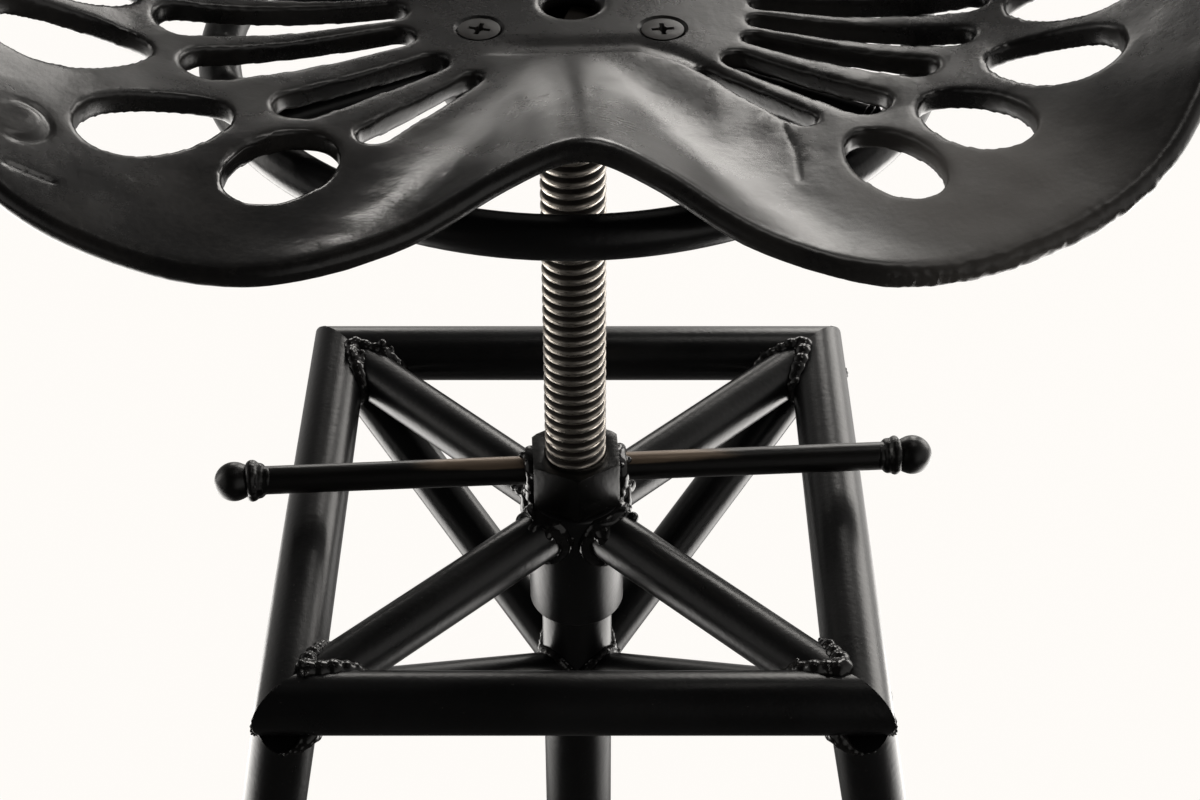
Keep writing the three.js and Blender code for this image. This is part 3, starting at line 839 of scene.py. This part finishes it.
for number, azimuth in enumerate(spoke_azimuths):
    way = Vector((math.cos(math.radians(azimuth)), math.sin(math.radians(azimuth)), 0))
    level = Vector((0, 0, hoop_height))
    start = level + way * (hub_radius - 1 * mm)
    end = level + way * (hoop_radius - hoop_bar + 0.6 * mm)
    spoke = coped_tube(start, end, spoke_radius, sides=48)
    node = f"hoop_spoke_{number + 1}"
    settle(spoke, f"spoke_{number + 1}", frame_black, "seat_and_screw", [node])
    across = Vector((-way.y, way.x, 0))
    seams = []
    for spot in (start + way * 1.2 * mm, end - way * 1.2 * mm):
        seams.append((circle(spot, across, axis_z, spoke_radius - 0.2 * mm, 26), 1.6 * mm))
    weld(f"weld_spoke_{number + 1}", seams, "seat_and_screw", 91 + number)


# Seat: one iron casting, an 8 mm skin that is flat over the hub, rises to a raised rim and dips to
# a lobe for each thigh with a ridge between them. It is pierced by a fan of slots and a ring of
# egg-shaped holes that were set out by eye in the pattern, and rubbed grey and dull in places. The
# lighter grey on the right lobe is a painted sheen over a real rough scuff.
seat_low, seat_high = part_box("tractor_seat")
seat_thickness = 8 * mm
plate_middle = seat_low.z + seat_thickness / 2
plate_radius = 62 * mm
plate_front = 36 * mm
hole_radius = 9.8 * mm
half_width = 216.5 * mm
rim_lift = 58.6 * mm
notch_shift = 5.5 * mm
notch_spread = 34
seat_columns = 216
seat_rings = 22
casting_voxel = 0.95 * mm
casting_faces = 190000
tool_drop = 20 * mm

# The rim from the front to the back: azimuth from the front in degrees, radius as a share of the
# half width, and lift over the plate as a share of the rim lift.
rim_shares = [
    (0, 0.631, 0.467),
    (10, 0.674, 0.35),
    (20, 0.794, 0.15),
    (30, 0.922, 0.083),
    (40, 1.005, 0.167),
    (50, 1.064, 0.367),
    (62, 1.064, 0.7),
    (78, 1.023, 0.917),
    (100, 0.982, 1.0),
    (125, 0.945, 1.03),
    (152, 0.904, 1.05),
    (180, 0.872, 1.06),
]


def rim_at(azimuth, column):
    """One column of the rim's table at an azimuth from the front, on a smooth curve."""
    knots = [row[0] for row in rim_shares]
    values = [row[column] for row in rim_shares]
    slopes = np.gradient(values, knots)
    slopes[0] = slopes[-1] = 0
    spot = min(max(np.searchsorted(knots, azimuth) - 1, 0), len(knots) - 2)
    step = knots[spot + 1] - knots[spot]
    t = (azimuth - knots[spot]) / step
    return (
        (2 * t**3 - 3 * t**2 + 1) * values[spot]
        + (t**3 - 2 * t**2 + t) * step * slopes[spot]
        + (3 * t**2 - 2 * t**3) * values[spot + 1]
        + (t**3 - t**2) * step * slopes[spot + 1]
    )


def casting_point(turn, share):
    """A point of the casting's middle surface: turn in radians from +X, share 0 at the plate's
    border and 1 at the rim. A share below 0 runs in to the plate's hole."""
    across, ahead = math.cos(turn), -math.sin(turn)
    azimuth = math.degrees(math.acos(max(-1, min(1, ahead))))
    rim_radius = rim_at(azimuth, 1) * half_width
    lift = rim_at(azimuth, 2) * rim_lift
    border = min(plate_radius, plate_front / max(ahead, 0.01))
    if share < 0:
        radius = border + (border - hole_radius) * share
        height = 0
    else:
        power = 1.35 + 1.65 * min(1, (1 - ahead) / 0.77)
        radius = border + share * (rim_radius - border)
        height = lift * share**power
    shift = notch_shift * math.exp(-((azimuth / notch_spread) ** 2)) * max(share, 0)
    return Vector((radius * across + shift, -radius * ahead, plate_middle + height))


deselect()
bpy.ops.mesh.primitive_circle_add(vertices=seat_columns, radius=hole_radius)
seat = bpy.context.object
bpy.ops.object.mode_set(mode="EDIT")
for _ in range(seat_rings + 1):
    bpy.ops.mesh.extrude_edges_move()
bpy.ops.object.mode_set(mode="OBJECT")
for number, vertex in enumerate(seat.data.vertices):
    turn = math.atan2(vertex.co.y, vertex.co.x)
    ring_number = number // seat_columns
    share = -1 if ring_number == 0 else (ring_number - 1) / seat_rings
    vertex.co = casting_point(turn, share)
bpy.ops.object.mode_set(mode="EDIT")
bpy.ops.mesh.select_all(action="SELECT")
bpy.ops.mesh.normals_make_consistent(inside=False)
bpy.ops.object.mode_set(mode="OBJECT")
refine(seat, "SOLIDIFY", thickness=seat_thickness, offset=0, use_even_offset=True)
round_edges(seat, 3.6 * mm, segments=5)


def piercing(outline, width_at, place):
    """A cutter through the casting: a unit disc stretched to an outline and drawn upwards."""
    deselect()
    bpy.ops.mesh.primitive_circle_add(vertices=40, radius=1, fill_type="NGON")
    tool = bpy.context.object
    for vertex in tool.data.vertices:
        along, across = vertex.co.x, vertex.co.y
        vertex.co.x = outline(along)
        vertex.co.y = across * width_at(along)
    bpy.ops.object.mode_set(mode="EDIT")
    bpy.ops.mesh.select_all(action="SELECT")
    depth = seat_high.z - seat_low.z + 3 * tool_drop
    bpy.ops.mesh.extrude_region_move(TRANSFORM_OT_translate={"value": (0, 0, depth)})
    bpy.ops.mesh.select_all(action="SELECT")
    bpy.ops.mesh.normals_make_consistent(inside=False)
    bpy.ops.object.mode_set(mode="OBJECT")
    tool.data.transform(place)
    return tool


def polar(azimuth, radius):
    turn = math.radians(azimuth)
    return Vector((radius * math.cos(turn), radius * math.sin(turn), 0))


def slot_tool(inner_azimuth, inner_radius, outer_azimuth, outer_radius, width=1):
    """A slot from near the plate outwards, wider at its outer end, with round ends."""
    inner, outer = width * slot_inner_width / 2, width * slot_outer_width / 2
    start, end = polar(inner_azimuth, inner_radius * mm), polar(outer_azimuth, outer_radius * mm)
    run = (end - start).length
    lean = math.atan2(end.y - start.y, end.x - start.x)
    place = Matrix.Translation(start + Vector((0, 0, seat_low.z - tool_drop)))
    place = place @ Matrix.Rotation(lean, 4, "Z")
    return piercing(
        lambda along: inner + along * inner if along < 0 else run - outer + along * outer,
        lambda along: inner if along < 0 else outer,
        place,
    )


def petal_tool(azimuth, radius, half_length, half_width_mm, lean, bulge):
    """An egg-shaped hole, turned a little from the radius and wider towards the rim."""
    start = polar(azimuth, radius * mm) + Vector((0, 0, seat_low.z - tool_drop))
    turn = Matrix.Rotation(math.radians(azimuth + lean), 4, "Z")
    return piercing(
        lambda along: along * half_length * mm,
        lambda along: half_width_mm * mm * (1 + bulge * along),
        Matrix.Translation(start) @ turn,
    )


slot_inner_width = 8 * mm
slot_outer_width = 13 * mm
# The front slots on the right and on the left, listed one by one: azimuth and radius in mm of the
# inner and of the outer end, and the width as a share. The rest are spaced evenly round the back.
front_slots = [
    (-46, 63, -46.3, 117, 0.66),
    (-34, 65, -36.2, 131, 1.3),
    (-21, 65, -24, 136.5, 1),
    (-10.5, 64, -14.5, 144.3, 1),
    (0, 64, -5, 148.2, 1),
    (-121.9, 58.9, -125.5, 116, 0.9),
    (-138.2, 57.8, -140.9, 125, 1.45),
    (-158.6, 59.4, -157.2, 142.5, 1.7),
    (-175.4, 59.2, -170.4, 147.5, 1.6),
]
# The front holes on the right and on the left: azimuth and radius of the middle, half length and
# half width in mm, turn from the radius in degrees, and how much wider the outer half is.
front_petals = [
    (-47.1, 153.5, 22.5, 12.8, -17, 0.02),
    (-34.9, 161.5, 23, 13.8, -20, 0.08),
    (-22.5, 174, 23, 16, -14, 0.2),
    (-9.5, 178, 24.4, 16.5, -8, 0.2),
    (-129, 145.5, 23, 16, 11, 0),
    (-144.3, 164.2, 26.6, 16.8, 0, 0.2),
    (-161, 177.7, 27.5, 17.9, 4, 0.2),
]
back_slots = []
back_petals = []
for step in range(1, 16):
    inner_azimuth = 184.5 * step / 16
    outer_azimuth = 196 * step / 16 - 5
    rim_out = rim_at(min(outer_azimuth + 90, 270 - outer_azimuth), 1) * half_width / mm
    back_slots.append((inner_azimuth, 64, outer_azimuth, 0.66 * rim_out))
    azimuth = 208.5 * step / 16 - 9.5
    rim_out = rim_at(min(azimuth + 90, 270 - azimuth), 1) * half_width / mm
    back_petals.append((azimuth, 0.8125 * rim_out, 0.1125 * rim_out, 15.5, 0, 0.2))

tools = [slot_tool(*row) for row in front_slots + back_slots]
tools += [petal_tool(*row) for row in front_petals + back_petals]
deselect()
for tool in tools:
    tool.select_set(True)
bpy.context.view_layer.objects.active = tools[0]
bpy.ops.object.join()
carve(seat, tools[0], "DIFFERENCE")
refine(seat, "REMESH", mode="VOXEL", voxel_size=casting_voxel, use_smooth_shade=True)
refine(seat, "SMOOTH", factor=0.5, iterations=14)

# The surface of a sand casting: low lumps left by the mould, the step where the ridge starts, a
# cold lap and a groove on the left, a seam on the right, and a ragged, filed edge at the front
# right. Places are in mm from the screw's axis, right and back.
screw_circle = 37.5 * mm
lumps = [(28 * mm, 0.3 * mm), (12 * mm, 0.17 * mm), (4.5 * mm, 0.06 * mm)]
ridge_start = [(-32, -37), (-12, -36.5), (24, -35), (38, -43), (52, -56)]
cold_lap = (-172, -116)
cold_lap_radius = 8.5
groove = [(-171, -138), (-157, -141)]
seam = [(70, -80), (71, -89), (73.4, -101.6), (73.7, -120)]
ragged_from, ragged_to = -66, -34
filed_from, filed_to = -68, -54
file_pitch = 0.75


def ease(value, start, end):
    """A soft step from 0 at the start to 1 at the end."""
    t = min(1, max(0, (value - start) / (end - start)))
    return t * t * (3 - 2 * t)


def between(value, start, end, rise, fall):
    """1 from the start to the end, with a soft rise after the start and a fall before the end."""
    return ease(value, start, start + rise) * (1 - ease(value, end - fall, end))


def mound(distance, width):
    return math.exp(-((distance / width) ** 2))


def off_line(x, y, line):
    """How far a place is from a line of short straight runs."""
    nearest = []
    for (x0, y0), (x1, y1) in zip(line, line[1:]):
        run_x, run_y = x1 - x0, y1 - y0
        t = ((x - x0) * run_x + (y - y0) * run_y) / (run_x**2 + run_y**2)
        t = min(1, max(0, t))
        nearest.append(math.hypot(x - x0 - t * run_x, y - y0 - t * run_y))
    return min(nearest)


def top_relief(x, y):
    """The height in mm of the casting's own marks over its top surface."""
    height = 0
    if -40 < x < 64 and -125 < y < -15:
        past = np.interp(x, *zip(*ridge_start)) - y
        sides = between(x, -34, 62, 24, 14)
        height += 1.2 * sides * ease(past, -1.5, 2.5) * (1 - ease(past, 8, 75))
        height -= 0.8 * sides * mound(past + 5.5, 4.5)
    if x < -140 and y < -90:
        lap_x, lap_y = cold_lap
        past = math.hypot(x - lap_x, y - lap_y) - cold_lap_radius
        height += 0.7 * (1 - ease(past, -2.2, 0)) * ease(x, lap_x - 9, lap_x + 5)
        height -= 0.7 * mound(past - 1, 1.2) * ease(x, lap_x - 4, lap_x + 4)
        height -= 0.6 * mound(off_line(x, y, groove), 1.0)
    if 60 < x < 84 and -125 < y < -75:
        height -= 0.24 * mound(off_line(x, y, seam), 0.75)
    return height * mm


rim_turns = [math.radians(degree) for degree in range(-80, -19)]
rim_spots = [casting_point(turn, 1) for turn in rim_turns]
rim_ways = [math.degrees(math.atan2(spot.y, spot.x)) for spot in rim_spots]
rim_radii = [math.hypot(spot.x, spot.y) for spot in rim_spots]
points = [vertex.co.copy() for vertex in seat.data.vertices]
ways = [vertex.normal.copy() for vertex in seat.data.vertices]
for vertex, point, way in zip(seat.data.vertices, points, ways):
    across = math.hypot(point.x, point.y)
    off_plate = min(1, max(0, (across - screw_circle - 12 * mm) / (20 * mm)))
    swell = sum(noise.noise(point / size) * height for size, height in lumps)
    vertex.co = point + way * abs(way.z) * swell * off_plate
    if way.z > 0.3:
        vertex.co.z += top_relief(point.x / mm, point.y / mm)
    azimuth = math.degrees(math.atan2(point.y, point.x))
    if -80 < azimuth < -25:
        inside = np.interp(azimuth, rim_ways, rim_radii) - across
        near_rim = 1 - ease(inside, 1 * mm, 8 * mm)
        ragged = between(azimuth, ragged_from, ragged_to, 9, 6)
        bite = 0.5 + 0.8 * noise.noise(point / (4.5 * mm)) + 0.5 * noise.noise(point / (2 * mm))
        filed = between(azimuth, filed_from, filed_to, 3, 3)
        wander = 3 * noise.noise(point / (9 * mm))
        stroke = math.sin(2 * math.pi * azimuth / file_pitch + wander)
        cut = near_rim * ragged * max(0, bite) * 0.75 * mm
        cut += filed * (1 - ease(inside, 0, 2.5 * mm)) * (0.2 + 0.2 * stroke) * mm
        vertex.co.x -= point.x / across * cut
        vertex.co.y -= point.y / across * cut
        vertex.co.z -= near_rim * ragged * 0.5 * mm * abs(noise.noise(point / (4 * mm)))

refine(seat, "DECIMATE", ratio=casting_faces / (2 * len(seat.data.polygons)))

# Countersinks and screw holes are machined after casting, so their edges are crisp.
head_radius = 9.4 * mm
head_depth = 4.6 * mm
shank_radius = 3.2 * mm
hole_turns = [90, 210, 330]
plate_top = seat_low.z + seat_thickness
cuts = []
for turn in hole_turns:
    spot = polar(turn, screw_circle)
    deselect()
    bpy.ops.mesh.primitive_cone_add(
        vertices=64,
        radius1=shank_radius,
        radius2=head_radius + 1 * mm,
        depth=head_depth + 1 * mm,
        location=(spot.x, spot.y, plate_top - head_depth / 2 + 0.5 * mm),
    )
    cuts.append(bpy.context.object)
    bpy.ops.mesh.primitive_cylinder_add(
        vertices=48,
        radius=shank_radius,
        depth=30 * mm,
        location=(spot.x, spot.y, plate_top - 15 * mm - 0.6 * head_depth),
    )
    cuts.append(bpy.context.object)
for cut in cuts:
    deselect()
    cut.select_set(True)
    bpy.context.view_layer.objects.active = cut
    bake_place()
    carve(seat, cut, "DIFFERENCE")


# Middle of the right lobe's scuff: a rougher finish, and a lighter grey that is a painted sheen.
scuff_and_sheen_middle = (130 * mm, -136 * mm)
polished_middle = (-82 * mm, -130 * mm)
patch_core = 15 * mm
patch_reach = 62 * mm


def seat_enamel():
    """Thin satin black over cast iron: grainy, with greyer, duller clouds where it is rubbed. The
    lobe on the right is scuffed dull, with a lighter grey painted on it as sheen, and the one on
    the left is polished by sitting."""
    paint, place = new_finish("seat_enamel")
    clouds = noise_on(place, 26, 7)
    grain = noise_on(place, 520, 5)
    pits = noise_on(place, 190, 3)
    range_in = {"Value": clouds + 0.35 * grain, "From Min": 0.6, "From Max": 0.95}
    rubbed = place.node("ShaderNodeMapRange", None, range_in)
    tint = mixed(rubbed, (0.010, 0.0095, 0.0095, 1), (0.027, 0.0245, 0.0225, 1))
    flat = level_with(place)
    patches = []
    for x, y in (scuff_and_sheen_middle, polished_middle):
        spots = {0: flat, 1: (x, y, 0)}
        away = flat.node("ShaderNodeVectorMath", {"operation": "DISTANCE"}, spots, output="Value")
        patches.append(fade(place, away, patch_core, patch_reach, 1.0, 0.0))
    # The right lobe's scuff is rougher, and its lighter grey colour is a painted sheen.
    scuff_and_sheen = patches[0] * (0.4 + 1.2 * clouds)
    tint = mixed(scuff_and_sheen, tint, (0.105, 0.096, 0.088, 1))
    rough = 0.16 * clouds + 0.06 * grain + 0.17 + 0.24 * scuff_and_sheen - 0.13 * patches[1]
    feed(paint, grain + 1.2 * pits, 0.04 * mm, {"Base Color": tint, "Roughness": rough})
    return paint


settle(seat, "seat", seat_enamel(), "seat_and_screw", ["tractor_seat"], crease=30)


# Seat screws: three M6 countersunk screws with cross recesses, blackened and set a little below
# the plate. They hold the casting down to the hub's flange.
screw_black = enamel("screw_black", [0.03, 0.028, 0.026], 0.36, 0.2, 0.00004, 0.2)
recess_arm = 5.6 * mm
recess_width = 1.9 * mm
recess_depth = 2.8 * mm
screw_sink = 0.35 * mm
for number, (turn, twist) in enumerate(zip(hole_turns, (20, -14, 6)), 1):
    spot = polar(turn, screw_circle)
    head_top = plate_top - screw_sink
    deselect()
    bpy.ops.mesh.primitive_cone_add(
        vertices=96,
        radius1=shank_radius - 0.2 * mm,
        radius2=head_radius - 1.6 * mm,
        depth=head_depth - 0.6 * mm,
        location=(spot.x, spot.y, head_top - head_depth / 2 + 0.3 * mm),
    )
    screw_head = bpy.context.object
    bake_place()
    round_edges(screw_head, 0.45 * mm, over=30)
    for quarter in (0, 90):
        deselect()
        bpy.ops.mesh.primitive_cube_add(size=1)
        arm = bpy.context.object
        arm.data.transform(Matrix.Diagonal((2 * recess_arm, recess_width, 2 * recess_depth, 1)))
        for vertex in arm.data.vertices:
            if vertex.co.z < 0:
                vertex.co.x *= 0.45
                vertex.co.y *= 0.8
        turned = Matrix.Rotation(math.radians(twist + quarter), 4, "Z")
        arm.data.transform(Matrix.Translation((spot.x, spot.y, head_top)) @ turned)
        carve(screw_head, arm, "DIFFERENCE")
    deselect()
    bpy.ops.mesh.primitive_cone_add(
        vertices=24,
        radius1=0.8 * recess_width,
        radius2=1.1 * recess_width,
        depth=2 * recess_depth,
        location=(spot.x, spot.y, head_top),
    )
    carve(screw_head, bpy.context.object, "DIFFERENCE")
    deselect()
    bpy.ops.mesh.primitive_cylinder_add(
        vertices=48,
        radius=shank_radius - 0.2 * mm,
        depth=13 * mm,
        location=(spot.x, spot.y, head_top - head_depth + 0.8 * mm - 6.5 * mm),
    )
    shank = bpy.context.object
    deselect()
    shank.select_set(True)
    screw_head.select_set(True)
    bpy.context.view_layer.objects.active = screw_head
    bpy.ops.object.join()
    settle(
        screw_head,
        f"seat_screw_{number}",
        screw_black,
        "seat_and_screw",
        [f"seat_screw_{number}"],
        crease=30,
    )
